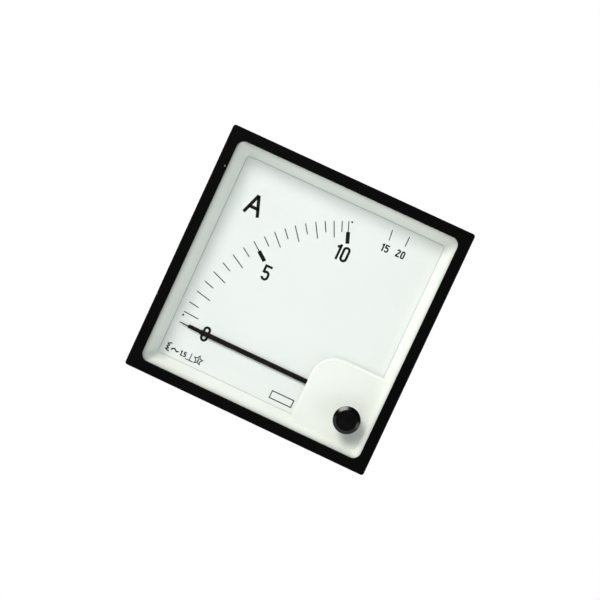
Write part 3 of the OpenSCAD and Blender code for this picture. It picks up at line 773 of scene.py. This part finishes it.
# Past each share the edge also falls by this much, in mm
EDGE_DROPS = ((0.95, 0.16), (0.85, 0.04))
SLACK_Y, SLACK_R = 1e-6, 1e-5  # how far a point of the round may lie off it, m
CREASE = math.radians(38)


def groove_outer_r(head_r):
    """Outer radius of the ring groove in the head's face."""
    return 0.68 * head_r + 0.35 * MM


def sloped_rim(turn):
    """Reach and fall of the rim, in mm, for a turn in degrees along the source's round edge."""
    share = turn / 90
    for (share_0, reach_0), (share_1, reach_1) in zip(RIM_REACH, RIM_REACH[1:]):
        if share <= share_1 + 1e-6:
            reach = reach_0 + (reach_1 - reach_0) * (share - share_0) / (share_1 - share_0)
            break
    slope_reach = min(reach, RIM_REACH[1][1])
    drop = next((drop for past, drop in EDGE_DROPS if share > past), 0.0)
    return reach, drop + RIM_FALL * slope_reach


def adjuster(material):
    """The zero adjuster with a sloping, finely rounded rim in place of the plain round one."""
    low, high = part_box("zero_adjuster")
    hinge_at = JOINTS["adjuster_hinge"]["pos_m"]
    centre = Vector((hinge_at[0], hinge_at[2]))
    head_r, face_y = high.x - centre.x, low.y
    round_r = HEAD_ROUND * MM
    round_start = head_r - round_r
    slope_before = RIM_FALL * (round_start - groove_outer_r(head_r))
    mesh = NODES["zero_adjuster"].data.copy()
    if "custom_normal" in mesh.attributes:
        mesh.attributes.remove(mesh.attributes["custom_normal"])
    for vert in mesh.vertices:
        out = Vector((vert.co.x, vert.co.z)) - centre
        r = out.length
        if vert.co.y > face_y + round_r + SLACK_Y or r < round_start - SLACK_R:
            continue
        turn = math.degrees(math.atan2(r - round_start, face_y + round_r - vert.co.y))
        reach, fall = sloped_rim(min(90.0, max(0.0, turn)))
        out *= (round_start + reach * MM) / r
        vert.co = (centre.x + out.x, face_y + slope_before + fall * MM, centre.y + out.y)
    mesh.shade_smooth()
    mesh.set_sharp_from_angle(angle=CREASE)
    mesh.materials.clear()
    mesh.materials.append(material)
    obj = add_object("adjuster_knob", mesh)
    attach(obj, "zero_adjuster")
    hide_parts("zero_adjuster")


# ---- Studio, in metres ----

SKY_TINT, SKY_LIGHT = (0.8, 0.985, 0.985), 0.3
# What mirrors see of the room: dim in front of the dial, as behind a photographer, else white
ROOM_DIM, ROOM_BRIGHT = 0.03, 0.95
ROOM_FRONT, ROOM_SIDE = -0.4, 0.1  # Y of the directions between which it brightens

# Each lamp: name, place, aim, side of its square, watts and colour
LAMPS = (
    ("key", (-1.2, -1.9, 1.2), (0, 0, 0), 1.15, 53.5, (1.0, 0.972, 0.945)),
    ("fill", (1.3, -0.7, -0.5), (0, 0, 0), 1.2, 9.5, WHITE),
    ("rear", (0.5, 0.9, 0.6), (0, 0.03, 0), 0.5, 8.0, WHITE),
)


def lamp(name, place, aim, side, power, colour):
    data = bpy.data.lights.new(name, "AREA")
    data.shape = "SQUARE"
    data.size = side
    data.energy = power
    data.color = colour
    obj = add_object(name, data)
    obj.location = place
    obj.rotation_mode = "QUATERNION"
    obj.rotation_quaternion = (Vector(aim) - Vector(place)).to_track_quat("-Z", "Y")


def sky():
    """The world: a tinted light, a room for mirrors and glass, and white for the camera."""
    world = bpy.data.worlds.new("studio")
    bpy.context.scene.world = world
    g = Graph(world, "ShaderNodeOutputWorld")
    direction = g.add("ShaderNodeTexCoord", output="Generated")
    ahead = g.add("ShaderNodeSeparateXYZ", {0: direction}, "Y")
    room = g.span(ahead, ROOM_FRONT, ROOM_SIDE, ROOM_DIM, ROOM_BRIGHT)
    light = g.add("ShaderNodeBackground", {"Color": SKY_TINT, "Strength": SKY_LIGHT})
    mirror = g.add("ShaderNodeBackground", {"Color": WHITE, "Strength": room})
    shown = g.add("ShaderNodeBackground", {"Color": WHITE, "Strength": 1.0})
    ray = g.tree.nodes.new("ShaderNodeLightPath").outputs
    mirrored = g.math("MAXIMUM", ray["Is Glossy Ray"], ray["Is Transmission Ray"])
    lit = g.add("ShaderNodeMixShader", {0: mirrored, 1: light, 2: mirror})
    g.finish(g.add("ShaderNodeMixShader", {0: ray["Is Camera Ray"], 1: lit, 2: shown}))


def floor():
    """A plain pale floor well below the meter, white to the camera."""
    half, drop, grain_mm = 2.0, 0.4, 1000 / 6
    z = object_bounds()[0].z - drop
    mesh = bpy.data.meshes.new("floor")
    corners = [(x * half, y * half, z) for x, y in ((-1, -1), (1, -1), (1, 1), (-1, 1))]
    mesh.from_pydata(corners, [], [(0, 1, 2, 3)])
    g = material_graph("floor_white")
    grain = g.noise(grain_mm, 2.0, 0.5)
    tone = g.mix(grain, (0.8, 0.8, 0.8), (0.84, 0.84, 0.84))
    diffuse = g.add("ShaderNodeBsdfDiffuse", {"Color": tone})
    white = g.add("ShaderNodeEmission", {"Color": WHITE, "Strength": 1.0})
    seen = g.add("ShaderNodeLightPath", output="Is Camera Ray")
    mesh.materials.append(g.finish(g.add("ShaderNodeMixShader", {0: seen, 1: diffuse, 2: white})))
    add_object("floor", mesh)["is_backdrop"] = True


CAMERA_AT = Vector((0.02598, -0.50348, 0.02577))
CAMERA_AIM = Vector((0.00054, -0.0055, 0.00019))
CAMERA_ROLL = math.radians(24.889)
CAMERA_LENS, CAMERA_SENSOR = 82.81, 36.0


def camera():
    """A level camera turned about its own line of sight."""
    data = bpy.data.cameras.new("camera")
    data.lens, data.sensor_width = CAMERA_LENS, CAMERA_SENSOR
    data.clip_start, data.clip_end = 0.01, 10.0
    forward = (CAMERA_AIM - CAMERA_AT).normalized()
    level = forward.cross(Vector((0, 0, 1))).normalized()
    upright = level.cross(forward).normalized()
    right = level * math.cos(CAMERA_ROLL) + upright * math.sin(CAMERA_ROLL)
    up = right.cross(forward)
    turn = Matrix((right, up, -forward)).transposed()
    obj = add_object("camera", data)
    obj.matrix_world = Matrix.Translation(CAMERA_AT) @ turn.to_4x4()
    bpy.context.scene.camera = obj


def main():
    bpy.context.scene.view_settings.view_transform = "Standard"
    camera()
    materials = make_materials()
    dress_nodes(materials)
    ink = ink_material()
    scale_marks(ink)
    figures(ink)
    symbols(ink)
    plain_box(ink)
    adjuster(materials["adjuster"])
    floor()
    sky()
    for row in LAMPS:
        lamp(*row)


main()
